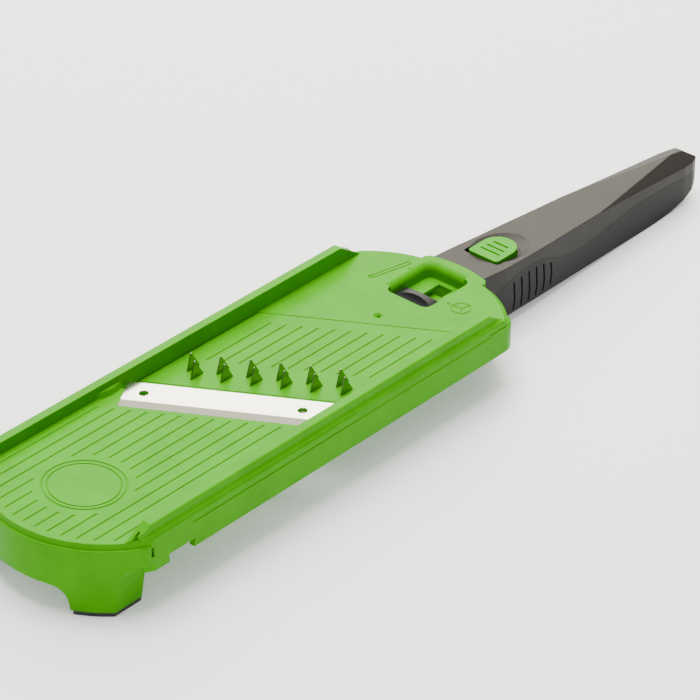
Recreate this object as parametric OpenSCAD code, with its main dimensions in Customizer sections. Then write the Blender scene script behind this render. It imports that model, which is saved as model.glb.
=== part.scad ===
/* [Body] */
// Overall length, foot end to handle butt
total_l = 397; // [390:1:404]
// Width over the side walls
body_w = 85.4; // [84:0.2:88]
// Height of the exit plate above the table
plate_z = 31; // [30:0.5:33]
// Wall and plate thickness
wall = 2.4; // [2:0.1:2.8]
// Half width between the inner rail walls
rail_in = 36.75; // [36:0.25:37]
// Height of the rails above the exit plate
rail_h = 5.1; // [4:0.1:6]
// Radius of the curved foot end at the plate edge
end_r = 47.5; // [47:0.5:48]
// Drop of the side walls below the exit plate
skirt_h = 14; // [13:0.5:14.5]

/* [Cutting parts] */
// Angle of the main blade away from square across the slicer
skew = 31; // [29:0.5:33]
// Distance from the foot end to the cutting edge on the centreline
edge_at = 114.5; // [113:0.5:116]
// Width of the main blade
blade_w = 16.7; // [15:0.1:18]
// Thickness of the main blade
blade_t = 0.6; // [0.5:0.1:0.8]
// Diameter of the two locating holes in the blade
blade_hole_d = 4; // [3:0.5:5]
// Thickness of a slice with the selector at cubes
slice_t = 2.3; // [2:0.1:3]
// Spacing of the fins along one comb
fin_pitch = 10; // [9:0.5:10.5]
// Fins on each comb
fin_count = 6; // [4:1:6]
// Height of a fin above the ramp
fin_h = 7.2; // [6:0.1:8]

/* [Selector] */
// Length of the thumb window
window_l = 27.3; // [26:0.1:28]
// Width of the thumb window
window_w = 21.8; // [21:0.1:22.5]
// Travel of the selector slider
select_travel = 10; // [8:0.5:10]
// Angle that the ramp drops through, in degrees
ramp_drop = 2.6; // [2:0.1:3]

/* [Handle] */
// Half width of the handle at the body
grip_front = 13.3; // [12.5:0.1:13.5]
// Half width of the handle near the butt
grip_back = 8.2; // [7.5:0.1:9]
// Length of the tang inside the handle
tang_l = 60; // [50:1:62]
// Travel of the release button
button_travel = 1.6; // [1:0.1:2]

/* [Surface] */
// Spacing of the shallow grooves
groove_pitch = 5.5; // [5:0.1:5.6]
// Depth of the shallow grooves
groove_d = 0.25; // [0.2:0.05:0.4]

/* [Hidden] */
$fn = 48;
eps = 0.01;

green = [0.36, 0.68, 0.08];
dark_grey = [0.3, 0.3, 0.31];
soft_grey = [0.22, 0.22, 0.23];
steel = [0.82, 0.83, 0.84];
black = [0.05, 0.05, 0.05];

// Heights
shoulder_z = plate_z - slice_t;
rail_top = plate_z + rail_h;
skirt_z = plate_z - skirt_h;
skirt_up = skirt_z + 3.5;
leg_out = 35.2;
side_y = body_w / 2;
rail_out = side_y - 1.7;
pad_t = 1.8;

// Stations along the length, measured from the foot end of the exit plate
foot_x = -total_l / 2;
butt_x = total_l / 2;
bevel_out = 1.5;
function st(d) = foot_x + bevel_out + d;
end_cx = st(end_r);
edge_x = st(edge_at);
rail_front = st(27.1);
rail_rear = st(213.5);
rail_slope = 11.2;
neck_x = st(243.2);
neck_y = 14.2;
seam_r = 52;
seam_cx = st(244.8) - seam_r;
seam_gap = 0.3;

// Rear outline of the body: a corner arc, then a long shallow arc to the neck
corner_x = st(221.5);
corner_r = 10;
slope_r = 50;
corner_cy = side_y - corner_r;
slope_cx = corner_x - (slope_r - corner_r) * cos(45);
slope_cy = corner_cy - (slope_r - corner_r) * sin(45);
slope_end = 18;
rim_w = 2.8;
rim_h = 2.6;

// The pivot line of the ramp runs parallel to the blade
pivot_x = st(186);
bead_r = 1.3;
pivot_z = shoulder_z - bead_r;
bead_fit = 0.05;
stub_r = 0.9;
ramp_gap = 0.5;
blade_fit = 0.02;
throat_gap = 1.1;
overhang = 4.8;
lip_w = 4;
lip_h = 3.8;
channel_in = rail_in + 1.6;
rail_foot_z = shoulder_z - 3.6;

// Thumb window
window_x0 = st(210.7);
window_x1 = window_x0 + window_l;
window_r = 3.4;
lip_roll = 3;
floor_z = shoulder_z - 6;
floor_t = 1.5;
slot_y = 3.7;
bar_t = 1.8;
bar_top = floor_z - floor_t - 0.2;
bar_y = 6;
cam_x = st(167);
cam_r = 1.5;
cam_arm = (pivot_x - cam_x) * cos(skew);
cam_slope = cam_arm * sin(ramp_drop) / select_travel;
cam_clear = 0.14;
cam_top = bar_top + 1.4;
wedge_l = 13;
guide_top = bar_top - bar_t - 0.15;
guide_t = 2;
guide_x0 = st(193.5);
guide_x1 = st(233);
guide_y = 14;
screw_y = 11;
screw_xs = [st(198), st(228)];
pilot_h = 3.9;
pilot_r = 1.1;
boss_d = 5.4;
slider_rib_t = 1.6;
leaf_x = st(212);
leaf_t = 0.3;
leaf_z = guide_top - 0.6;
notch_w = 1.1;

// Handle: the top and the half width fall away from the body
grip_x0 = st(241.5);
grip_tops = [[241.5, 28.6], [249, 28], [257, 27.2], [271, 26.2], [285, 25.5], [299, 24.8],
             [327, 23.5], [383, 21.9], [396.5, 21]];
grip_halves = [[241.5, grip_front - 0.1], [257, grip_front + 0.1], [271, grip_front - 0.5],
               [285, grip_front - 1.1], [313, grip_front - 2.7], [341, grip_back + 1],
               [366, grip_back + 0.2], [383, grip_back - 0.2]];
seam_heights = [[240, 16.5], [247, 17.4], [251, 18.4], [257, 19.8], [263, 20.8], [269, 21.4],
                [275, 21.5], [281, 20.6], [287, 18.6], [293, 15.8], [299, 14.2], [306, 13.2],
                [314, 12.8], [332, 14.5], [350, 15.6], [372, 15], [398, 13]];
shell_t = 2.2;
tang_y = 7;
tang_z0 = 8;
tang_z1 = 20;
tang_t = 2;
button_x = st(257.8);
button_y = 7.7;
button_l = 17.8;
flange_t = 0.6;
plunger_x = button_x + 13.5;
spring_x = button_x + 6.5;
catch_x = button_x + 12;
catch_z = tang_z1 + 0.9;
tongue_x = button_x - 3;
cage_z0 = tang_z1 + 0.4;
cage_z1 = tang_z1 + 1.2;
flange_z = cage_z1 + button_travel + 0.2;
button_top = flange_z + 4.5;
dish_d = 1.7;
dish_half_l = 14;
dish_half_w = 10.9;
dish_x = st(268);
dish_tilt = 4.4;
moat_z = 24.8;
moat_w = 1.3;
handle_screw_xs = [st(315), st(362)];
rib_xs = [st(249), st(292)];
rib_t = 1.8;

// Position along the blade from the centreline (u) and across it towards the handle (v)
module on_skew(x0) {
    translate([x0, 0, 0]) rotate([0, 0, skew]) children();
}

// Half plane on the handle side of a line parallel to the blade, v from x0
module skew_half(x0, size = 400) {
    on_skew(x0) translate([0, -size / 2]) square([size, size]);
}

// Points of an arc from angle a0 to a1
function arc(cx, cy, r, a0, a1, n) =
    [for (i = [0 : n]) [cx + r * cos(a0 + (a1 - a0) * i / n), cy + r * sin(a0 + (a1 - a0) * i / n)]];

function mirrored(pts) = [for (i = [len(pts) - 1 : -1 : 0]) [pts[i][0], -pts[i][1]]];

// Rear edge of the body from the side wall to the neck
function rear_edge(inset) = concat(
    arc(corner_x, corner_cy, corner_r - inset, 90, 45, 6),
    arc(slope_cx, slope_cy, slope_r - inset, 42, slope_end, 6),
    arc(neck_x + 1.4, neck_y + 5 - inset, 5, 198, 250, 4)
);

// Plan of the body: curved foot end, straight sides, rounded rear and neck
module body_plan(inset = 0, r = end_r) {
    ri = r - inset;
    ya = side_y - inset;
    a = asin(ya / ri);
    half = concat(
        arc(end_cx, 0, ri, 180, 180 - a, 12),
        rear_edge(inset),
        [[neck_x + 4, neck_y - inset]]
    );
    polygon(concat(half, mirrored(half)));
}

// Section of one rail and side wall, in Y and Z, hollow from below
module rail_section() {
    polygon(concat(
        [[side_y, skirt_z], [side_y, plate_z - 3.4], [side_y - 0.25, plate_z - 3.2],
         [side_y - 0.25, plate_z - 0.5]],
        arc(side_y + 0.15, plate_z + 2.5, 2.0, 250, 195, 5),
        [[rail_out, rail_top - 0.6], [rail_out - 0.2, rail_top - 0.2], [rail_out - 0.7, rail_top],
         [rail_in, rail_top], [rail_in, rail_foot_z], [channel_in, rail_foot_z],
         [channel_in, rail_top - 2.2], [rail_out - 1.8, rail_top - 2.2],
         [side_y - wall, plate_z - 1], [side_y - wall, skirt_z]]
    ));
}

// Side view of the rails: both ends slope down to the plates
module rail_side_cut() {
    polygon([
        [rail_front - 9.5, plate_z], [rail_front, rail_top + eps], [rail_rear, rail_top + eps],
        [rail_rear + rail_slope, shoulder_z], [butt_x, shoulder_z], [butt_x, 0],
        [foot_x - 5, 0], [foot_x - 5, plate_z]
    ]);
}

module extrude_x(x0, x1) {
    translate([x0, 0, 0]) rotate([90, 0, 90]) linear_extrude(x1 - x0) children();
}

module extrude_y(y0, y1) {
    translate([0, y1, 0]) rotate([90, 0, 0]) linear_extrude(y1 - y0) children();
}

module both_sides() {
    children();
    mirror([0, 1, 0]) children();
}

// Curved end wall with a bevelled upper band
module end_wall() {
    band = 6.3;
    intersection() {
        translate([end_cx, 0, 0]) rotate_extrude(angle = 360, $fn = 160) polygon([
            [end_r, plate_z], [end_r + bevel_out, plate_z - band], [end_r + bevel_out, pad_t],
            [end_r + bevel_out - wall, pad_t], [end_r + bevel_out - wall, plate_z - band - 1],
            [end_r - wall, plate_z - wall], [end_r - wall, plate_z]
        ]);
        translate([foot_x - 1, -side_y, 0]) cube([end_cx - foot_x - 14, body_w, plate_z]);
    }
}

// Outer edge of a leg seen from the foot end: almost upright, then swept out to the side wall
function leg_flank(top_y, foot_y) = concat(
    [[foot_y, pad_t], [foot_y + 1.2, skirt_up - 6.5]],
    arc(foot_y + 6.2, skirt_up - 5.5, 5, 180, 100, 5),
    [[top_y, skirt_up], [top_y, plate_z + 1]]
);

function mirrored_y(pts) = [for (i = [len(pts) - 1 : -1 : 0]) [-pts[i][0], pts[i][1]]];

// What is left of the end wall and legs below the skirt, seen from the foot end
module leg_front_view() {
    leg_in = 22.4;
    arch_z = plate_z - 19.6;
    difference() {
        polygon(concat(leg_flank(side_y, leg_out), mirrored_y(leg_flank(side_y, leg_out))));
        polygon(concat(
            [[-leg_in, -1]],
            arc(-leg_in + 1 + 7, arch_z - 7, 7, 175, 90, 6),
            arc(leg_in - 1 - 7, arch_z - 7, 7, 90, 5, 6),
            [[leg_in, -1]]
        ));
    }
}

// Side view of a leg: straight foot edge, fillet into the side wall
module leg_side_view() {
    polygon(concat(
        [[foot_x - 2, pad_t], [st(26.6), pad_t], [st(27.6), skirt_up - 6.5]],
        arc(st(33.6), skirt_up - 6, 6, 180, 90, 5),
        [[st(46.5), skirt_up], [st(46.5), plate_z], [foot_x - 2, plate_z]]
    ));
}

module leg_outer() {
    intersection() {
        extrude_x(foot_x - 2, foot_x + 48) leg_front_view();
        extrude_y(-side_y - 1, side_y + 1) leg_side_view();
        translate([0, 0, pad_t]) linear_extrude(plate_z) body_plan(r = end_r + bevel_out);
    }
}

module legs() {
    difference() {
        leg_outer();
        // hollow behind the front and side walls of each leg
        intersection() {
            translate([0, 0, pad_t + wall]) linear_extrude(plate_z)
                body_plan(inset = wall, r = end_r + bevel_out);
            extrude_x(foot_x - 2, foot_x + 60)
                polygon(concat(leg_flank(side_y - wall, leg_out - wall),
                    mirrored_y(leg_flank(side_y - wall, leg_out - wall))));
        }
        translate([foot_x - 3, -side_y, plate_z - wall]) cube([60, body_w, 10]);
    }
}

// Grooves of the exit plate, broken around the plain oval ornament
line_w = 0.7;
ornament_x = foot_x + 35;
ornament_rx = 15.5;
ornament_ry = 16.5;
module plate_grooves() {
    half = 6;
    for (i = [-half : half]) {
        y = i * groove_pitch;
        x0 = end_cx - sqrt(end_r * end_r - y * y) + 3;
        x1 = edge_x - blade_w / cos(skew) - y * tan(skew) - 2.5;
        gap = abs(y) < ornament_ry + 1 ?
            (ornament_rx + 3) * sqrt(1 - pow(y / (ornament_ry + 2.5), 2)) + 0.5 : 0;
        if (gap > 0) {
            groove(x0, ornament_x - gap, y, plate_z);
            groove(ornament_x + gap, x1, y, plate_z);
        } else {
            groove(x0, x1, y, plate_z);
        }
    }
}

// One straight groove along the slicer, cut down from the height z
module groove(x0, x1, y, z) {
    translate([x0, y - line_w / 2, z - groove_d]) cube([x1 - x0, line_w, 1]);
}

// One oval groove line
module oval_line(rx, ry, w) {
    translate([ornament_x, 0, plate_z - groove_d]) linear_extrude(1) difference() {
        polygon(arc_oval(rx, ry));
        polygon(arc_oval(rx - w, ry - w));
    }
}

function arc_oval(rx, ry, n = 48) =
    [for (i = [0 : n - 1]) [rx * cos(i * 360 / n), ry * sin(i * 360 / n)]];

// Exit plate from the foot end to the seat of the blade
module exit_plate() {
    difference() {
        translate([0, 0, plate_z - wall]) linear_extrude(wall) difference() {
            body_plan();
            skew_half(edge_x - overhang / cos(skew));
        }
        plate_grooves();
        oval_line(ornament_rx, ornament_ry, line_w);
        oval_line(ornament_rx - 2, ornament_ry - 2, line_w - 0.2);
        blade_seat();
        // chamfer under the edge of the throat
        on_skew(edge_x - overhang / cos(skew)) translate([0, 0, plate_z - wall])
            rotate([0, 45, 0]) cube([2, 200, 2], center = true);
    }
}

// Cone that bevels the rim of the shoulder along one arc of the rear outline
module rim_cone(cx, cy, r, a0, a1) {
    translate([cx, cy, 0]) rotate([0, 0, a0]) rotate_extrude(angle = a1 - a0, $fn = 180) polygon([
        [r - rim_w, shoulder_z], [r - rim_w, shoulder_z + 1], [r + 1, shoulder_z + 1],
        [r + 1, shoulder_z - rim_h * (rim_w + 1) / rim_w]
    ]);
}

module rim_cuts() {
    both_sides() {
        rim_cone(corner_x, corner_cy, corner_r, 44.9, 80);
        rim_cone(slope_cx, slope_cy, slope_r, slope_end - 4, 45.1);
    }
}

// Rolled edges on the far side and the handle side of the thumb window
module lip_profile() {
    polygon(concat(
        [[-0.1, shoulder_z - lip_roll]],
        arc(lip_roll, shoulder_z - lip_roll, lip_roll, 180, 90, 6),
        [[lip_roll, shoulder_z + 1], [-0.1, shoulder_z + 1]]
    ));
}

module lip_cuts() {
    yc = window_w / 2 - window_r;
    xc = window_x1 - window_r;
    translate([window_x0 + window_r, window_w / 2, 0]) rotate([90, 0, 90])
        linear_extrude(xc - window_x0 - window_r) lip_profile();
    translate([window_x1, yc, 0]) rotate([90, 0, 0]) linear_extrude(2 * yc) lip_profile();
    translate([xc, yc, 0]) rotate_extrude(angle = 90, $fn = 64)
        translate([window_r, 0]) lip_profile();
}

// Rod along the pivot line of the ramp
module pivot_rod(r) {
    rod_l = 120;
    on_skew(pivot_x) translate([0, rod_l / 2, pivot_z]) rotate([90, 0, 0])
        cylinder(r = r, h = rod_l, $fn = 48);
}

// Shoulder plate around the thumb window
module shoulder_plate() {
    difference() {
        union() {
            translate([0, 0, shoulder_z - wall]) linear_extrude(wall) intersection() {
                body_plan();
                skew_half(pivot_x);
            }
            // thickened lip that holds the bead of the ramp
            translate([0, 0, shoulder_z - lip_h]) linear_extrude(lip_h) intersection() {
                difference() {
                    skew_half(pivot_x);
                    skew_half(pivot_x + lip_w);
                }
                translate([-100, -rail_in - 1]) square([200, 2 * rail_in + 2]);
            }
            // walls and floor of the thumb window
            translate([0, 0, floor_z - floor_t]) linear_extrude(shoulder_z - floor_z)
                window_plan(1.6);
        }
        // cup for the bead
        pivot_rod(bead_r + bead_fit);
        translate([0, 0, floor_z]) linear_extrude(20) window_plan(0);
        lip_cuts();
        // slot for the stem of the slider
        translate([st(214.5), -slot_y, floor_z - 5]) cube([21, 2 * slot_y, 10]);
        // position dots and moulding gate
        translate([st(229.4), 13.9, shoulder_z + 0.6]) sphere(r = 1, $fn = 24);
        translate([st(219.4), -15.1, shoulder_z + 0.6]) sphere(r = 1, $fn = 24);
        translate([st(194.4), 0, shoulder_z + 1.2]) sphere(r = 2.2, $fn = 32);
        translate([st(194.8), 0, shoulder_z - 1.6]) cylinder(r = 0.7, h = 2, $fn = 24);
        stick_icon();
        cube_icon();
    }
    // lug beside the slot
    translate([st(233.4), -window_w / 2 - 0.5, floor_z - 0.1]) cube([3, 5, 1.8]);
}

module window_plan(grow) {
    r = window_r + grow;
    xs = [window_x0 - grow + r, window_x1 + grow - r];
    ys = window_w / 2 + grow - r;
    for (x = xs) for (s = [-1, 1]) translate([x, s * ys]) circle(r = r, $fn = 48);
    translate([window_x0 - grow, -ys]) square([window_l + 2 * grow, 2 * ys]);
    translate([xs[0], -ys - r]) square([xs[1] - xs[0], 2 * (ys + r)]);
}

// Engraved outline between two points
module line_cut(a, b, w = 0.4) {
    icon_d = 0.2;
    d = b - a;
    translate([a[0], a[1], shoulder_z - icon_d]) rotate([0, 0, atan2(d[1], d[0])])
        translate([-w / 2, -w / 2, 0]) cube([norm(d) + w, w, 1]);
}

module loop_cut(pts) {
    for (i = [0 : len(pts) - 1]) line_cut(pts[i], pts[(i + 1) % len(pts)]);
}

module stick_icon() {
    translate([st(213.7), 21.4, 0]) rotate([0, 0, -13]) {
        loop_cut([[1.6, 0.9], [19.5, 0.9], [19.5, -0.9], [1.6, -0.9]]);
        loop_cut([[0, 1.4], [1.6, 0.9], [1.6, -0.9], [0, -0.4]]);
    }
}

module cube_icon() {
    s = 4.2;
    translate([st(220.2), -21, 0]) rotate([0, 0, 10]) {
        corner = [for (i = [0 : 5]) [s * cos(60 * i + 30), s * sin(60 * i + 30)]];
        loop_cut(corner);
        for (i = [1 : 2 : 5]) line_cut([0, 0], corner[i]);
    }
}

// Everything on the body's side of the seam to the handle
module before_seam() {
    translate([seam_cx, 0, -1]) cylinder(r = seam_r, h = 80, $fn = 240);
    translate([foot_x - 5, -side_y - 5, -1]) cube([st(230) - foot_x + 5, body_w + 10, 80]);
}

// Rear wall below the shoulder
module rear_wall() {
    translate([0, 0, skirt_z]) linear_extrude(shoulder_z - skirt_z - 1) intersection() {
        difference() {
            body_plan();
            body_plan(inset = wall);
        }
        translate([corner_x - 2, -side_y - 1]) square([60, body_w + 2]);
    }
}

// Collar that meets the handle
module collar() {
    difference() {
        intersection() {
            extrude_x(neck_x - 6, neck_x + 4) polygon([[-12.2, 6], [12.2, 6], [neck_y - 0.4, 12],
                [neck_y, shoulder_z], [-neck_y, shoulder_z], [-neck_y + 0.4, 12]]);
            translate([seam_cx, 0, 0]) cylinder(r = seam_r, h = 60, $fn = 240);
        }
        extrude_x(neck_x - 7, neck_x - wall) polygon([[-10, 4], [10, 4], [11, 12],
            [11, 21], [-11, 21], [-11, 12]]);
        translate([0, 0, floor_z]) linear_extrude(20) window_plan(0);
        lip_cuts();
    }
}

// Tang, an open box section that enters the handle
module tang() {
    difference() {
        translate([neck_x - 1, -tang_y, tang_z0]) cube([tang_l + 1, 2 * tang_y, tang_z1 - tang_z0]);
        translate([neck_x - 4, -tang_y + tang_t, tang_z0 - 1])
            cube([tang_l + 2, 2 * (tang_y - tang_t), tang_z1 - tang_z0 + 1 - tang_t]);
        // opening for the latch tongue
        translate([tongue_x, -4.5, tang_z0]) cube([20, 9, 20]);
    }
}

// Ribs under the shoulder: guides for the slider, screw bosses
module under_ribs() {
    for (s = [-1, 1]) {
        translate([guide_x0, s * (bar_y + 1) - slider_rib_t / 2, guide_top])
            cube([window_x0 - guide_x0, slider_rib_t, shoulder_z - guide_top - 1]);
        translate([window_x0 - 1, s * (bar_y + 1) - slider_rib_t / 2, guide_top])
            cube([guide_x1 - window_x0, slider_rib_t, floor_z - guide_top - 1]);
        for (x = screw_xs) difference() {
            translate([x, s * screw_y, guide_top])
                cylinder(d = boss_d, h = (x < window_x0 ? shoulder_z - 1 : floor_z - 1) - guide_top);
            translate([x, s * screw_y, guide_top - 1]) cylinder(r = pilot_r, h = pilot_h, $fn = 24);
        }
        // long ribs that stiffen the exit plate
        translate([end_cx - 20, s * 25 - 0.8, plate_z - wall - 4]) cube([30, 1.6, 4.5]);
    }
}

module body() {
    color(green) {
        difference() {
            union() {
                exit_plate();
                intersection() {
                    union() {
                        shoulder_plate();
                        rear_wall();
                    }
                    before_seam();
                }
                collar();
                tang();
                both_sides() intersection() {
                    extrude_x(foot_x, neck_x) rail_section();
                    extrude_y(0, side_y + 5) rail_side_cut();
                    linear_extrude(60) body_plan(r = end_r + 0.01);
                }
                intersection() {
                    end_wall();
                    extrude_x(foot_x - 1, end_cx + 60) leg_front_view();
                }
                legs();
                under_ribs();
                blade_cheek();
            }
            rim_cuts();
            // room under the side wall between the leg and the step
            extrude_y(-side_y - 1, side_y + 1) polygon([
                [st(34), skirt_z - 1], [st(46.5), skirt_z - 1],
                [st(47.2), skirt_up], [st(34), skirt_up]]);
            blade_seat();
            // pilot holes of the guide plate screws
            for (x = screw_xs) for (s = [-1, 1]) translate([x, s * screw_y, guide_top - 1])
                cylinder(r = pilot_r, h = pilot_h, $fn = 24);
            // pivot holes for the stubs of the ramp
            intersection() {
                pivot_rod(stub_r + bead_fit);
                translate([-80, -channel_in - 0.3, 0]) cube([160, 2 * channel_in + 0.6, 60]);
            }
            // small relief slot at each foot corner
            both_sides() translate([foot_x + 26.5, side_y - 1.2, plate_z - 7.5])
                cube([1.4, 3, 4]);
        }
    }
}

// Swelling of the left rail that covers the end of the blade
module blade_cheek() {
    cheek_x = edge_x - blade_w / 2 / cos(skew) - rail_in * tan(skew);
    cheek_r = 14;
    bulge = 2.4;
    cheek_h = 3.4;
    intersection() {
        translate([cheek_x, rail_in + cheek_r - bulge, plate_z - 1])
            cylinder(r1 = cheek_r, r2 = cheek_r - 1, h = cheek_h, $fn = 96);
        translate([cheek_x - cheek_r, rail_in - bulge, plate_z - 1])
            cube([2 * cheek_r, bulge + 1, cheek_h]);
    }
}

// The main blade: long back bevel, flat, and a cutting edge ground from below
module blade_solid(grow = 0) {
    half_l = 42.5 + grow;
    end_y = rail_in + 1.45 + grow;
    seat_d = 0.3 + grow;
    back_t = 0.32 + grow;
    back_bevel = 4.3;
    edge_bevel = 1.6;
    c = blade_t + grow;
    on_skew(edge_x) intersection() {
        translate([0, half_l, plate_z - seat_d]) rotate([90, 0, 0]) linear_extrude(2 * half_l)
            polygon([[-blade_w - grow, 0], [-blade_w - grow, back_t], [-blade_w + back_bevel, c],
                     [grow * 2, c], [grow * 2, c - 0.1], [-edge_bevel, 0]]);
        // square-cut ends inside the rails
        rotate([0, 0, -skew]) translate([-total_l / 2, -end_y, 0]) cube([total_l, 2 * end_y, 60]);
    }
}

// Pocket of the blade and the two holes under it
module blade_seat() {
    blade_solid(grow = blade_fit);
    blade_holes(blade_hole_d - 0.4, plate_z - wall - 1);
}

module blade_holes(d, z0) {
    hole_y = 26.3;
    hole_v = 6.9;
    for (s = [-1, 1])
        translate([edge_x - hole_v / cos(skew) - s * hole_y * tan(skew), s * hole_y, z0])
            cylinder(d = d, h = 10, $fn = 36);
}

module main_blade() {
    color(steel) difference() {
        blade_solid();
        blade_holes(blade_hole_d, plate_z - 2);
    }
}

// Fin positions: rear comb and front comb are staggered by half a pitch
front_line = st(128);
rear_line = st(134.2);
strip_t = 0.5;
strip_w = 5;
strip_v = 0.85;
fin_t = 0.5;
fin_fit = 0.05;
strip_top = shoulder_z - wall - 0.1;
function fin_y(k, shift) = (k - (fin_count - 1) / 2) * fin_pitch + shift;

// Outline of a fin in X and Z, apex above x = 0, with a narrower root in its strip
module fin_view(grow = 0) {
    front = -2.5 - grow;
    back = 4.4 + grow;
    tip = 0.15 + grow;
    root_front = -1.6;
    root_back = 3.4;
    root_z = strip_top - strip_t / 2;
    step_z = strip_top + 0.1;
    polygon([
        [root_front, root_z], [root_front, step_z], [front, step_z], [front, shoulder_z],
        [-tip, shoulder_z + fin_h], [tip, shoulder_z + fin_h], [back, shoulder_z],
        [back, step_z], [root_back, step_z], [root_back, root_z]
    ]);
}

module fins(line_x, shift, grow = 0) {
    for (k = [0 : fin_count - 1]) {
        y = fin_y(k, shift);
        translate([line_x - y * tan(skew), 0, 0])
            extrude_y(y - fin_t / 2 - grow, y + fin_t / 2 + grow) fin_view(grow);
    }
}

module comb(line_x, shift) {
    fins(line_x, shift);
    on_skew(line_x) translate([strip_v - strip_w / 2, -36 + 1.1 * shift, strip_top - strip_t])
        cube([strip_w, 68, strip_t]);
}

module rear_fin_comb() {
    color(steel) comb(rear_line, fin_pitch / 4);
}

module front_fin_comb() {
    color(steel) comb(front_line, -fin_pitch / 4);
}

// Plan of the ramp between the throat and its pivot
module ramp_plan() {
    intersection() {
        difference() {
            skew_half(edge_x + throat_gap / cos(skew));
            skew_half(pivot_x);
        }
        translate([-150, -rail_in + ramp_gap]) square([300, 2 * (rail_in - ramp_gap)]);
    }
}

// Bar that clamps both combs, with a screw line along each long side
retainer_top = strip_top - strip_t - 0.05;
retainer_t = 1.6;
retainer_w = 17.6;
retainer_v = (rear_line + front_line) / 2;
retainer_screw_v = 7;
retainer_screw_us = [-27, 23];

module at_retainer_screws() {
    for (u = retainer_screw_us) for (s = [-1, 1])
        on_skew(retainer_v) translate([strip_v + s * retainer_screw_v, u, 0]) children();
}

module ramp_plate() {
    half = 5;
    color(green) difference() {
        union() {
            translate([0, 0, shoulder_z - wall]) linear_extrude(wall) ramp_plan();
            // bead along the pivot line
            intersection() {
                pivot_rod(bead_r);
                translate([-80, -rail_in + ramp_gap, 0]) cube([160, 2 * (rail_in - ramp_gap), 60]);
            }
            // pivot stubs that enter the rails
            intersection() {
                pivot_rod(stub_r);
                translate([-80, -rail_in - 1.2, 0]) cube([160, 2 * rail_in + 2.4, 60]);
            }
            // cam follower under the ramp
            translate([cam_x - 1.2, -3, cam_top + cam_r + cam_clear])
                cube([2.4, 6, shoulder_z - 1 - cam_top - cam_r]);
            translate([cam_x, 3, cam_top + cam_r + cam_clear]) rotate([90, 0, 0])
                cylinder(r = cam_r, h = 6, $fn = 32);
            // bosses for the retainer screws
            translate([0, 0, retainer_top]) at_retainer_screws()
                cylinder(r = 1.7, h = shoulder_z - 1 - retainer_top, $fn = 32);
        }
        translate([0, 0, retainer_top - 1]) at_retainer_screws()
            cylinder(r = 0.82, h = 3, $fn = 24);
        for (i = [-half : half]) {
            y = i * groove_pitch;
            shift = -y * tan(skew);
            groove(rear_line + 8.3 + shift, st(178.6) + shift, y, shoulder_z);
        }
        // fine lines along the edge of the throat
        for (v = [3.2, 4.6]) on_skew(edge_x) translate([v, -60, shoulder_z - groove_d])
            cube([line_w / 2, 120, 1]);
        fins(rear_line, fin_pitch / 4, grow = fin_fit);
        fins(front_line, -fin_pitch / 4, grow = fin_fit);
    }
}

// Bar under the ramp that clamps both combs
module comb_retainer() {
    color(green) difference() {
        on_skew(retainer_v) translate([strip_v - retainer_w / 2, -39, retainer_top - retainer_t])
            cube([retainer_w, 75, retainer_t]);
        translate([0, 0, retainer_top - 3]) at_retainer_screws() cylinder(r = 0.95, h = 5, $fn = 24);
        both_sides() translate([-150, rail_in - 2, 0]) cube([300, 20, 60]);
    }
}

module retainer_screws() {
    color(steel) at_retainer_screws() difference() {
        union() {
            translate([0, 0, retainer_top - retainer_t - 0.8]) cylinder(r = 1.6, h = 0.8, $fn = 32);
            translate([0, 0, retainer_top - retainer_t - 0.1])
                cylinder(r = 0.8, h = retainer_t + 1.8, $fn = 24);
        }
        for (a = [0, 90]) rotate([0, 0, a])
            translate([-0.9, -0.2, retainer_top - retainer_t - 1]) cube([1.8, 0.4, 0.6]);
    }
}

// Cut for one notch of the detent
module detent_notch(x) {
    extrude_y(-bar_y - 1, bar_y + 1) polygon([
        [x - 3, guide_top], [x + 3, guide_top], [x + notch_w, guide_top + 1.15],
        [x - notch_w, guide_top + 1.15]
    ]);
}

// Thumb slider: tab, stem, bar under the shoulder and the wedge that carries the ramp
module selector_slider() {
    tab_x0 = window_x0 + 0.4;
    tab_l = 11.8;
    ridge = 9.4;
    tab_y = window_w / 2 - 0.9;
    crown_r = 23;
    color(dark_grey) {
        // tab with a scooped face towards the foot end and a crowned ridge
        intersection() {
            extrude_y(-tab_y, tab_y) polygon(concat(
                [[tab_x0, floor_z + 0.2]],
                arc(tab_x0 + 0.6, floor_z + 8.9, 7.6, 268, 335, 8),
                [[tab_x0 + ridge - 0.5, shoulder_z - 1.5], [tab_x0 + ridge, shoulder_z - 1.7],
                 [tab_x0 + tab_l, floor_z + 1.6], [tab_x0 + tab_l, floor_z + 0.2]]
            ));
            extrude_x(tab_x0 - 1, tab_x0 + tab_l + 1) polygon(concat(
                arc(0, shoulder_z - 1.5 - crown_r, crown_r, 64, 116, 16),
                [[-tab_y, floor_z], [tab_y, floor_z]]
            ));
            translate([0, 0, floor_z]) linear_extrude(10) window_plan(-0.35);
        }
        // stem through the slot
        translate([st(214.8), -slot_y + 0.3, bar_top - 0.5])
            cube([6.5, 2 * (slot_y - 0.3), floor_z + 0.8 - bar_top]);
        difference() {
            translate([cam_x - wedge_l, -bar_y + 0.1, bar_top - bar_t])
                cube([st(221) - cam_x + wedge_l, 2 * bar_y - 0.2, bar_t]);
            detent_notch(leaf_x);
            detent_notch(leaf_x - select_travel);
        }
        // wedge, highest at its handle end
        extrude_y(-3.4, 3.4) polygon([
            [cam_x - wedge_l, bar_top - 0.5], [cam_x + 3, bar_top - 0.5],
            [cam_x + 3, cam_top + 3 * cam_slope], [cam_x - wedge_l, cam_top - wedge_l * cam_slope]
        ]);
    }
}

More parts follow.
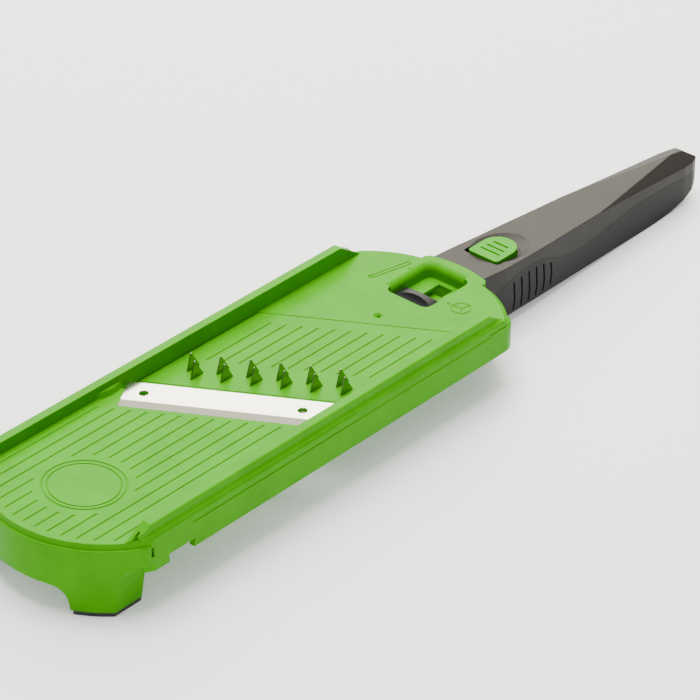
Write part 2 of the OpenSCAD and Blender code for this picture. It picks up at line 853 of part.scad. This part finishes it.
module slider_guide_plate() {
    color(green) difference() {
        translate([guide_x0, -guide_y, guide_top - guide_t])
            cube([guide_x1 - guide_x0, 2 * guide_y, guide_t]);
        for (x = screw_xs) for (s = [-1, 1]) translate([x, s * screw_y, guide_top - guide_t - 1]) {
            cylinder(r = 1.3, h = 8, $fn = 24);
            cylinder(r = 2.5, h = 2.1, $fn = 32);
        }
        // seat of the detent leaf
        translate([leaf_x - 12.2, -2.7, leaf_z]) cube([24.4, 5.4, 5]);
    }
}

module guide_plate_screws() {
    head_t = 1;
    color(steel) for (x = screw_xs) for (s = [-1, 1])
        translate([x, s * screw_y, guide_top - guide_t + 0.1]) difference() {
            union() {
                cylinder(r = 2.3, h = head_t, $fn = 32);
                translate([0, 0, head_t - 0.1]) cylinder(r = 1.08, h = guide_t + 1.4, $fn = 24);
            }
            for (a = [0, 90]) rotate([0, 0, a]) translate([-1.3, -0.25, -0.1]) cube([2.6, 0.5, 0.6]);
        }
}

// Leaf under the slider bar, with a bump that drops into its notches
module detent_spring() {
    t = leaf_t;
    bump = 1.55;
    z = leaf_z;
    color(steel) extrude_y(-2.5, 2.5) polygon([
        [leaf_x - 12, z], [leaf_x - 2.6, z], [leaf_x - 0.6, z + bump - t], [leaf_x + 0.6, z + bump - t],
        [leaf_x + 2.6, z], [leaf_x + 12, z], [leaf_x + 12, z + t], [leaf_x + 2.8, z + t],
        [leaf_x + 0.8, z + bump], [leaf_x - 0.8, z + bump], [leaf_x - 2.8, z + t], [leaf_x - 12, z + t]
    ]);
}

// Sprung tongue of the tang with the catch that holds the handle
module latch_tongue() {
    z0 = tang_z1 - 1.8;
    z1 = tang_z1 - 0.4;
    color(green) extrude_y(-4.2, 4.2) polygon([
        [tongue_x, z0], [catch_x + 4, z0], [catch_x + 4, z1], [catch_x + 1.2, catch_z],
        [catch_x, catch_z], [catch_x, z1], [tongue_x, z1]
    ]);
}

// Handle envelope: plan and side view, both shrunk by inset
function grip_half(x) = lookup(x - st(0), grip_halves);
function grip_top(x) = lookup(x - st(0), grip_tops);

module grip_plan(inset) {
    half = concat(
        [for (p = grip_halves) [st(p[0]), p[1] - inset]],
        [[butt_x - 6, grip_back - 0.9 - inset], [butt_x - 2 - inset * 0.6, grip_back - 2.6 - inset],
         [butt_x - inset, grip_back - 5.2 - inset]]
    );
    polygon(concat(half, mirrored(half)));
}

module grip_side(inset) {
    polygon(concat(
        [for (p = grip_tops) if (p[0] < 390) [st(p[0]), p[1] - inset]],
        [[butt_x - 5, grip_top(butt_x) - 0.2 - inset], [butt_x - 1.5 - inset * 0.8, 18.5 - inset * 0.8],
         [butt_x - inset, 15.5 - inset * 0.4], [butt_x - inset, 9.5 + inset * 0.2],
         [butt_x - 3.5 - inset * 0.7, 5.6 + inset * 0.8], [butt_x - 12, 2.4 + inset],
         [butt_x - 22, 0.5 + inset], [butt_x - 32, inset], [st(270), inset],
         [st(258), 1 + inset], [st(250), 2.8 + inset], [st(241), 4.8 + inset]]
    ));
}

// Cross section limits: slanted lower edges
module grip_section(inset) {
    w = grip_front + 1 - inset;
    polygon([
        [-w, 9], [-w, 30], [w, 30], [w, 9], [w - 1.6, 3.4 + inset], [w - 5.6, inset - 0.01],
        [5.6 - w, inset - 0.01], [1.6 - w, 3.4 + inset]
    ]);
}

// Slanted faces on both sides of the pointed flat top near the butt
module top_facets(inset) {
    top_start = st(322);
    top_tip = st(383);
    spread = atan2(grip_half(top_start), top_tip - top_start);
    fall = 22;
    both_sides() translate([top_tip, 0, grip_top(top_tip) - inset]) rotate([0, 1.6, 0])
        rotate([0, 0, -spread]) rotate([-fall, 0, 0]) translate([-100, 0, 0]) cube([160, 40, 20]);
}

module grip_solid(inset = 0) {
    difference() {
        intersection() {
            linear_extrude(60) grip_plan(inset);
            extrude_y(-30, 30) grip_side(inset);
            extrude_x(grip_x0 - 5, butt_x + 1) grip_section(inset);
        }
        top_facets(inset);
        if (inset == 0)
            translate([seam_cx, 0, -1]) cylinder(r = seam_r + seam_gap, h = 60, $fn = 240);
    }
}

// Region below the line between the hard upper shell and the soft lower shell
module seam_below() {
    polygon(concat(
        [[st(240), -1]],
        [for (p = seam_heights) [st(p[0]), p[1]]],
        [[st(398), -1]]
    ));
}

// Plan of the button: flat towards the body, round towards the butt
module button_plan(grow = 0) {
    r = button_y + grow;
    corner = 1.6;
    translate([button_x + button_l - button_y, 0]) circle(r = r, $fn = 64);
    translate([button_x - grow, -r + corner]) square([button_l - button_y + grow, 2 * (r - corner)]);
    translate([button_x - grow + corner, -r]) square([button_l - button_y + grow - corner, 2 * r]);
    for (s = [-1, 1]) translate([button_x - grow + corner, s * (r - corner)])
        circle(r = corner, $fn = 32);
}

// Ribs inside the handle that guide the tang, and posts for the screws
module grip_inside() {
    for (x = rib_xs) translate([x, -20, 0]) cube([rib_t, 40, 40]);
    for (x = handle_screw_xs) translate([x, 0, 0]) cylinder(r = 3.2, h = 40, $fn = 32);
    translate([butt_x - 26, -rib_t / 2, 0]) cube([24, rib_t, 40]);
    // thicker roof under the dish
    translate([dish_x - dish_half_l - 1, -20, flange_z + flange_t + 0.1])
        cube([2 * dish_half_l + 2, 40, 20]);
}

module tang_room() {
    translate([grip_x0 - 6, -tang_y - 0.3, tang_z0 - 0.3])
        cube([tang_l + 12, 2 * tang_y + 0.6, tang_z1 - tang_z0 + 0.6]);
}

module handle_cavity() {
    difference() {
        grip_solid(shell_t);
        grip_inside();
        translate([grip_x0 - 6, -20, -1]) cube([8.5, 40, 40]);
    }
    tang_room();
}

// Shallow dish around the button, curved both along and across the handle
module dish_cut() {
    r_long = (dish_half_l * dish_half_l + dish_d * dish_d) / (2 * dish_d);
    r_wide = (dish_half_w * dish_half_w + dish_d * dish_d) / (2 * dish_d);
    sweep = 2 * asin(dish_half_l / r_long) + 2;
    steps = 8;
    reach = 1.4 * asin(dish_half_w / r_wide);
    translate([dish_x, 0, grip_top(dish_x)]) rotate([0, dish_tilt, 0])
        translate([0, 0, r_long - dish_d])
            rotate([90, 90, 0]) rotate([0, 0, -sweep / 2]) rotate_extrude(angle = sweep, $fn = 720)
                polygon(concat(
                    [[r_long - 3, -dish_half_w * 1.5], [r_long - 3, dish_half_w * 1.5]],
                    [for (i = [steps : -1 : -steps]) let (a = reach * i / steps)
                        [r_long - r_wide * (1 - cos(a)), r_wide * sin(a)]]
                ));
}

module handle_upper_shell() {
    color(dark_grey) difference() {
        grip_solid();
        extrude_y(-30, 30) seam_below();
        handle_cavity();
        dish_cut();
        translate([0, 0, tang_z1]) linear_extrude(20) button_plan(0.35);
        // recess around the sides of the button
        translate([0, 0, moat_z]) linear_extrude(20) button_plan(moat_w);
        // room for the flange of the button
        translate([0, 0, tang_z1]) linear_extrude(flange_z + flange_t - tang_z1 + 0.1)
            button_plan(1.2);
        // pilot holes of the screws
        for (x = handle_screw_xs) translate([x, 0, 0]) cylinder(r = pilot_r, h = 20, $fn = 24);
    }
}

module handle_lower_shell() {
    groove_w = 1;
    groove_depth = 0.8;
    color(soft_grey) difference() {
        intersection() {
            grip_solid();
            extrude_y(-30, 30) seam_below();
        }
        handle_cavity();
        // bent vertical grip grooves
        for (i = [0 : 5]) {
            x = st(262 + 5 * i);
            top = lookup(x - st(0), seam_heights) - 2.6;
            both_sides() translate([x, 0, 0])
                extrude_y(grip_half(x) - groove_depth, grip_front + 4) polygon([
                    [0, 5], [groove_w, 5], [groove_w + 0.8, 10], [groove_w, top], [0, top], [0.8, 10]
                ]);
        }
        for (x = handle_screw_xs) {
            translate([x, 0, -1]) cylinder(r = 1.5, h = 20, $fn = 24);
            translate([x, 0, -1]) cylinder(r = 2.8, h = 4, $fn = 32);
        }
    }
}

module handle_screws() {
    color(steel) for (x = handle_screw_xs) translate([x, 0, 0]) difference() {
        union() {
            translate([0, 0, 1.6]) cylinder(r = 2.6, h = 1.4, $fn = 32);
            translate([0, 0, 2.9]) cylinder(r = 1.09, h = 16, $fn = 24);
        }
        for (a = [0, 90]) rotate([0, 0, a]) translate([-1.4, -0.3, 1.5]) cube([2.8, 0.6, 0.8]);
    }
}

// Green thumb button with three grip grooves, a flange and a plunger
module release_button() {
    color(green) {
        difference() {
            translate([0, 0, flange_z]) linear_extrude(button_top - flange_z) button_plan();
            for (i = [0 : 2]) translate([button_x + 4.6 + 3.4 * i, -5 + 0.6 * i, button_top - 0.5])
                cube([0.9, 10 - 1.2 * i, 1]);
        }
        translate([0, 0, flange_z]) linear_extrude(flange_t) button_plan(0.8);
        translate([plunger_x, 0, catch_z + 0.4])
            cylinder(r = 1.5, h = flange_z - catch_z, $fn = 32);
    }
}

spring_r = 3;
spring_wire = 0.25;
spring_z0 = cage_z1 + 0.02;
spring_z1 = flange_z - 0.02;
spring_turns = 2.5;

// Helical wire, a swept ring of eight sides
module button_spring() {
    steps = 50;
    sides = 8;
    rise = spring_z1 - spring_z0 - 2 * spring_wire;
    pts = [
        for (i = [0 : steps]) for (j = [0 : sides - 1])
            let (a = 360 * spring_turns * i / steps, b = 360 * j / sides,
                 r = spring_r + spring_wire * cos(b))
            [spring_x + r * cos(a), r * sin(a),
             spring_z0 + spring_wire + rise * i / steps + spring_wire * sin(b)]
    ];
    faces = concat(
        [[for (j = [0 : sides - 1]) j]],
        [for (i = [0 : steps - 1]) for (j = [0 : sides - 1])
            [i * sides + j, (i + 1) * sides + j, (i + 1) * sides + (j + 1) % sides,
             i * sides + (j + 1) % sides]],
        [[for (j = [sides - 1 : -1 : 0]) steps * sides + j]]
    );
    color(steel) polyhedron(pts, faces);
}

// Shelf under the button: seat of the spring and strike of the catch
module button_cage() {
    color(dark_grey) difference() {
        intersection() {
            grip_solid(shell_t);
            translate([rib_xs[0] + rib_t, -20, cage_z0]) cube([26, 40, cage_z1 - cage_z0]);
        }
        translate([catch_x - 0.3, -4.6, cage_z0 - 1]) cube([5, 9.2, 5]);
    }
}

// Rubber pad under one leg
module foot_pad() {
    color(black) intersection() {
        linear_extrude(pad_t) body_plan(inset = 0.2, r = end_r + bevel_out);
        extrude_x(foot_x - 2, st(26.5))
            polygon([[22.6, 0], [leg_out - 0.4, 0], [leg_out, pad_t], [22.6, pad_t]]);
    }
}

module foot_pad_left() {
    foot_pad();
}

module foot_pad_right() {
    mirror([0, 1, 0]) foot_pad();
}

body();
ramp_plate();
main_blade();
rear_fin_comb();
front_fin_comb();
comb_retainer();
retainer_screws();
selector_slider();
slider_guide_plate();
guide_plate_screws();
detent_spring();
latch_tongue();
handle_upper_shell();
handle_lower_shell();
handle_screws();
release_button();
button_spring();
button_cage();
foot_pad_left();
foot_pad_right();
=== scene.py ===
import math

import bpy
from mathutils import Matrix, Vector

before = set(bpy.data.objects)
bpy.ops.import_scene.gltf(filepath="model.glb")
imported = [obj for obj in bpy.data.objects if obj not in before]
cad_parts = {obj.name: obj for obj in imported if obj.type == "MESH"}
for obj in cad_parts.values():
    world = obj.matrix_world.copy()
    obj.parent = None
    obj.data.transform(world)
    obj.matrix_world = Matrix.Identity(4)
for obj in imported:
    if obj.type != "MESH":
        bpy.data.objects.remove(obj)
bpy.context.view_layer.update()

# Colours, as sRGB values from 0 to 1
GREEN = (0.250, 0.590, 0.000)
GREEN_BUTTON = (0.230, 0.590, 0.000)
STEEL = (0.83, 0.82, 0.79)
# Darker steel for the blade's ground bevel: painted shade that stands in for the bevel's darker
# reflection
STEEL_BEVEL_PAINTED_SHADE = (0.36, 0.36, 0.33)
# Fin steel is darker than the blade steel and tinted green: painted shade and a painted reflection of
# the green body
STEEL_FIN_PAINTED_SHADE_AND_REFLECTION = (0.56, 0.57, 0.50)
SCREW = (0.62, 0.62, 0.62)
DARK_TAB = (0.075, 0.080, 0.078)
HANDLE_TOP = (0.115, 0.105, 0.092)
HANDLE_SIDE = (0.060, 0.062, 0.064)
PAD = (0.060, 0.060, 0.062)
FLOOR = (0.94, 0.94, 0.93)

# Surface detail, lengths in metres and scales in waves per metre
EDGE_RADIUS = 0.0005
EDGE_SAMPLES = 6
MOTTLE = 0.03
MOTTLE_SCALE = 60.0
GRAIN_DEPTH = 0.0002
BRUSH = 0.05
BRUSH_DEPTH = 0.0001
BRUSH_SCALE = (60.0, 6000.0, 60.0)

# The blade lies across the slicer at this angle
SKEW = math.radians(31.0)

# Floor, metres
FLOOR_SIZE = 6.0
FLOOR_DROP = 0.0002
FLOOR_GLOW = 0.34

# Studio: brightness of the sky, place, size and power of the two lights
SKY_HORIZON = 0.02
SKY_TOP = 1.15
WHITE = (1.0, 1.0, 1.0)
WARM = (1.0, 0.95, 0.80)
SOFTBOX_SIZE = 1.4
BEHIND = (1.25, 1.15, 1.15)
BEHIND_POWER = 55.0
ABOVE = (0.10, 0.35, 2.0)
ABOVE_POWER = 80.0
LIGHT_AIM = (0.0, 0.0, 0.02)

# Camera, metres and degrees
AZIMUTH = -47.97
ELEVATION = 32.72
DISTANCE = 1.350
TARGET = (-0.0313, -0.0111, 0.0310)
LENS = 180.0
SENSOR = 36.0


def linear(colour):
    """sRGB colour to the linear values that shaders use, with full alpha."""
    return tuple(c / 12.92 if c <= 0.04045 else ((c + 0.055) / 1.055) ** 2.4 for c in colour) + (1.0,)


def new_material(name):
    """Returns an empty procedural material, its node tree and its main shader."""
    material = bpy.data.materials.new(name)
    material.use_nodes = True
    tree = material.node_tree
    return material, tree, tree.nodes["Principled BSDF"]


def noise(tree, vector, scale, detail):
    """Noise from 0 to 1 over the given coordinates."""
    node = tree.nodes.new("ShaderNodeTexNoise")
    node.inputs["Scale"].default_value = scale
    node.inputs["Detail"].default_value = detail
    tree.links.new(vector, node.inputs["Vector"])
    return node.outputs["Fac"]


def vary_roughness(tree, shader, value, roughness, spread):
    """Roughness that moves with a value from 0 to 1, by a share of itself each way."""
    node = tree.nodes.new("ShaderNodeMapRange")
    node.inputs["To Min"].default_value = roughness * (1 - spread)
    node.inputs["To Max"].default_value = roughness * (1 + spread)
    tree.links.new(value, node.inputs["Value"])
    tree.links.new(node.outputs["Result"], shader.inputs["Roughness"])


def add_bump(tree, shader, height, strength, depth):
    """Fine relief on the shader. Returns the node, so that a base normal can be linked."""
    node = tree.nodes.new("ShaderNodeBump")
    node.inputs["Strength"].default_value = strength
    node.inputs["Distance"].default_value = depth
    tree.links.new(height, node.inputs["Height"])
    tree.links.new(node.outputs["Normal"], shader.inputs["Normal"])
    return node


def plastic(name, colour, roughness, grain_scale, grain, specular=0.5):
    """Moulded plastic: a slight mottle, a fine grain and softly rounded edges."""
    material, tree, shader = new_material(name)
    coords = tree.nodes.new("ShaderNodeTexCoord")
    broad = noise(tree, coords.outputs["Object"], MOTTLE_SCALE, 3.0)
    ramp = tree.nodes.new("ShaderNodeValToRGB")
    darker, lighter = ramp.color_ramp.elements
    darker.position = 0.35
    darker.color = linear([c * (1 - MOTTLE) for c in colour])
    lighter.position = 0.65
    lighter.color = linear([min(1, c * (1 + MOTTLE)) for c in colour])
    tree.links.new(broad, ramp.inputs["Fac"])
    tree.links.new(ramp.outputs["Color"], shader.inputs["Base Color"])
    vary_roughness(tree, shader, broad, roughness, 0.1)
    fine = noise(tree, coords.outputs["Object"], grain_scale, 2.0)
    soft_edge = tree.nodes.new("ShaderNodeBevel")
    soft_edge.samples = EDGE_SAMPLES
    soft_edge.inputs["Radius"].default_value = EDGE_RADIUS
    bump = add_bump(tree, shader, fine, grain, GRAIN_DEPTH)
    tree.links.new(soft_edge.outputs["Normal"], bump.inputs["Normal"])
    shader.inputs["Specular IOR Level"].default_value = specular
    return material


def metal(name, colour, roughness, brush_angle=0.0):
    """Steel with fine parallel grinding lines."""
    material, tree, shader = new_material(name)
    coords = tree.nodes.new("ShaderNodeTexCoord")
    turn = tree.nodes.new("ShaderNodeMapping")
    turn.inputs["Rotation"].default_value = (0.0, 0.0, brush_angle)
    turn.inputs["Scale"].default_value = BRUSH_SCALE
    tree.links.new(coords.outputs["Object"], turn.inputs["Vector"])
    lines = noise(tree, turn.outputs["Vector"], 1.0, 3.0)
    add_bump(tree, shader, lines, BRUSH, BRUSH_DEPTH)
    vary_roughness(tree, shader, lines, roughness, 0.2)
    shader.inputs["Base Color"].default_value = linear(colour)
    shader.inputs["Metallic"].default_value = 1.0
    return material


green = plastic("green plastic", GREEN, roughness=0.28, grain_scale=2500.0, grain=0.03, specular=0.035)
green_button = plastic("green button", GREEN_BUTTON, roughness=0.30, grain_scale=2500.0, grain=0.04,
                       specular=0.05)
dark = plastic("dark tab plastic", DARK_TAB, roughness=0.42, grain_scale=3000.0, grain=0.10,
               specular=0.15)
upper = plastic("grey handle plastic", HANDLE_TOP, roughness=0.40, grain_scale=3500.0, grain=0.16,
                specular=0.13)
lower = plastic("soft grip", HANDLE_SIDE, roughness=0.48, grain_scale=3500.0, grain=0.20,
                specular=0.15)
rubber = plastic("foot rubber", PAD, roughness=0.60, grain_scale=2000.0, grain=0.25)
steel = metal("ground steel", STEEL, roughness=0.20, brush_angle=-SKEW)
# The bevel steel is a darker copy of the blade steel, which is painted shade; its higher roughness is
# the grind
bevel_steel_painted_shade = metal("ground bevel with painted shade", STEEL_BEVEL_PAINTED_SHADE, roughness=0.28, brush_angle=-SKEW)
# Darker, green-tinted copy of steel for the fins: painted shade and a painted green reflection
fin_steel_painted_shade_and_reflection = metal("fin steel with painted shade and green reflection", STEEL_FIN_PAINTED_SHADE_AND_REFLECTION, roughness=0.30)
screw = metal("screw steel", SCREW, roughness=0.35)

LOOKS = {
    "body": green, "ramp_plate": green, "comb_retainer": green, "slider_guide_plate": green,
    "latch_tongue": green, "release_button": green_button,
    "main_blade": steel, "rear_fin_comb": fin_steel_painted_shade_and_reflection, "front_fin_comb": fin_steel_painted_shade_and_reflection,
    "retainer_screws": screw, "guide_plate_screws": screw, "detent_spring": screw,
    "handle_screws": screw, "button_spring": screw,
    "selector_slider": dark, "handle_upper_shell": upper, "button_cage": upper,
    "handle_lower_shell": lower, "foot_pad_left": rubber, "foot_pad_right": rubber,
}


def dress(looks):
    """Gives each node its one material."""
    for node, look in looks.items():
        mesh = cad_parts[node].data
        mesh.materials.clear()
        mesh.materials.append(look)


def flatten(nodes):
    """Flat shading for sheet parts, whose faces meet at sharp edges."""
    for node in nodes:
        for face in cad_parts[node].data.polygons:
            face.use_smooth = False


def mark_bevel(node, look, towards, low, high):
    """Second material for the upward faces of a node that lean a little in one direction; here it
    paints shade on the blade's bevel.
    """
    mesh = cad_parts[node].data
    mesh.materials.append(look)
    slot = len(mesh.materials) - 1
    for face in mesh.polygons:
        if low < face.normal.dot(Vector(towards)) < high and face.normal.z > 0.9:
            face.material_index = slot


def add_floor():
    bpy.ops.mesh.primitive_plane_add(size=FLOOR_SIZE, location=(0.0, 0.0, -FLOOR_DROP))
    floor = bpy.context.object
    floor.name = "floor"
    material, _, shader = new_material("floor")
    shader.inputs["Base Color"].default_value = linear(FLOOR)
    shader.inputs["Roughness"].default_value = 0.55
    shader.inputs["Specular IOR Level"].default_value = 0.25
    shader.inputs["Emission Color"].default_value = WHITE + (1.0,)
    shader.inputs["Emission Strength"].default_value = FLOOR_GLOW
    floor.data.materials.append(material)


def add_sky(horizon, top):
    """A studio that is dim at eye level and bright overhead."""
    world = bpy.data.worlds.new("studio")
    bpy.context.scene.world = world
    world.use_nodes = True
    tree = world.node_tree
    background = tree.nodes["Background"]
    coords = tree.nodes.new("ShaderNodeTexCoord")
    split = tree.nodes.new("ShaderNodeSeparateXYZ")
    tree.links.new(coords.outputs["Generated"], split.inputs["Vector"])
    rise = tree.nodes.new("ShaderNodeMapRange")
    rise.inputs["From Min"].default_value = 0.05
    rise.inputs["From Max"].default_value = 0.95
    rise.inputs["To Min"].default_value = horizon
    rise.inputs["To Max"].default_value = top
    tree.links.new(split.outputs["Z"], rise.inputs["Value"])
    tree.links.new(rise.outputs["Result"], background.inputs["Strength"])
    background.inputs["Color"].default_value = WHITE + (1.0,)


def add_softbox(name, place, power, colour):
    """A square soft light that points at the slicer."""
    data = bpy.data.lights.new(name, "AREA")
    data.shape = "RECTANGLE"
    data.size = SOFTBOX_SIZE
    data.size_y = SOFTBOX_SIZE
    data.energy = power
    data.color = colour
    lamp = bpy.data.objects.new(name, data)
    bpy.context.collection.objects.link(lamp)
    lamp.location = place
    lamp.rotation_euler = (Vector(LIGHT_AIM) - Vector(place)).to_track_quat("-Z", "Y").to_euler()


def add_camera():
    a = math.radians(AZIMUTH)
    e = math.radians(ELEVATION)
    back = Vector((math.sin(a) * math.cos(e), -math.cos(a) * math.cos(e), math.sin(e)))
    data = bpy.data.cameras.new("camera")
    data.lens = LENS
    data.sensor_width = SENSOR
    data.clip_start = 0.05
    data.clip_end = 20.0
    camera = bpy.data.objects.new("camera", data)
    bpy.context.collection.objects.link(camera)
    camera.location = Vector(TARGET) + back * DISTANCE
    camera.rotation_euler = (-back).to_track_quat("-Z", "Y").to_euler()
    bpy.context.scene.camera = camera


dress(LOOKS)
flatten(["main_blade", "rear_fin_comb", "front_fin_comb"])
# Paints shade on the blade's bevel faces with the darker bevel steel
mark_bevel("main_blade", bevel_steel_painted_shade, (-math.cos(SKEW), -math.sin(SKEW), 0.0), 0.02, 0.3)

add_floor()
add_sky(SKY_HORIZON, SKY_TOP)
add_softbox("softbox behind", BEHIND, BEHIND_POWER, WARM)
add_softbox("soft top", ABOVE, ABOVE_POWER, WHITE)
add_camera()
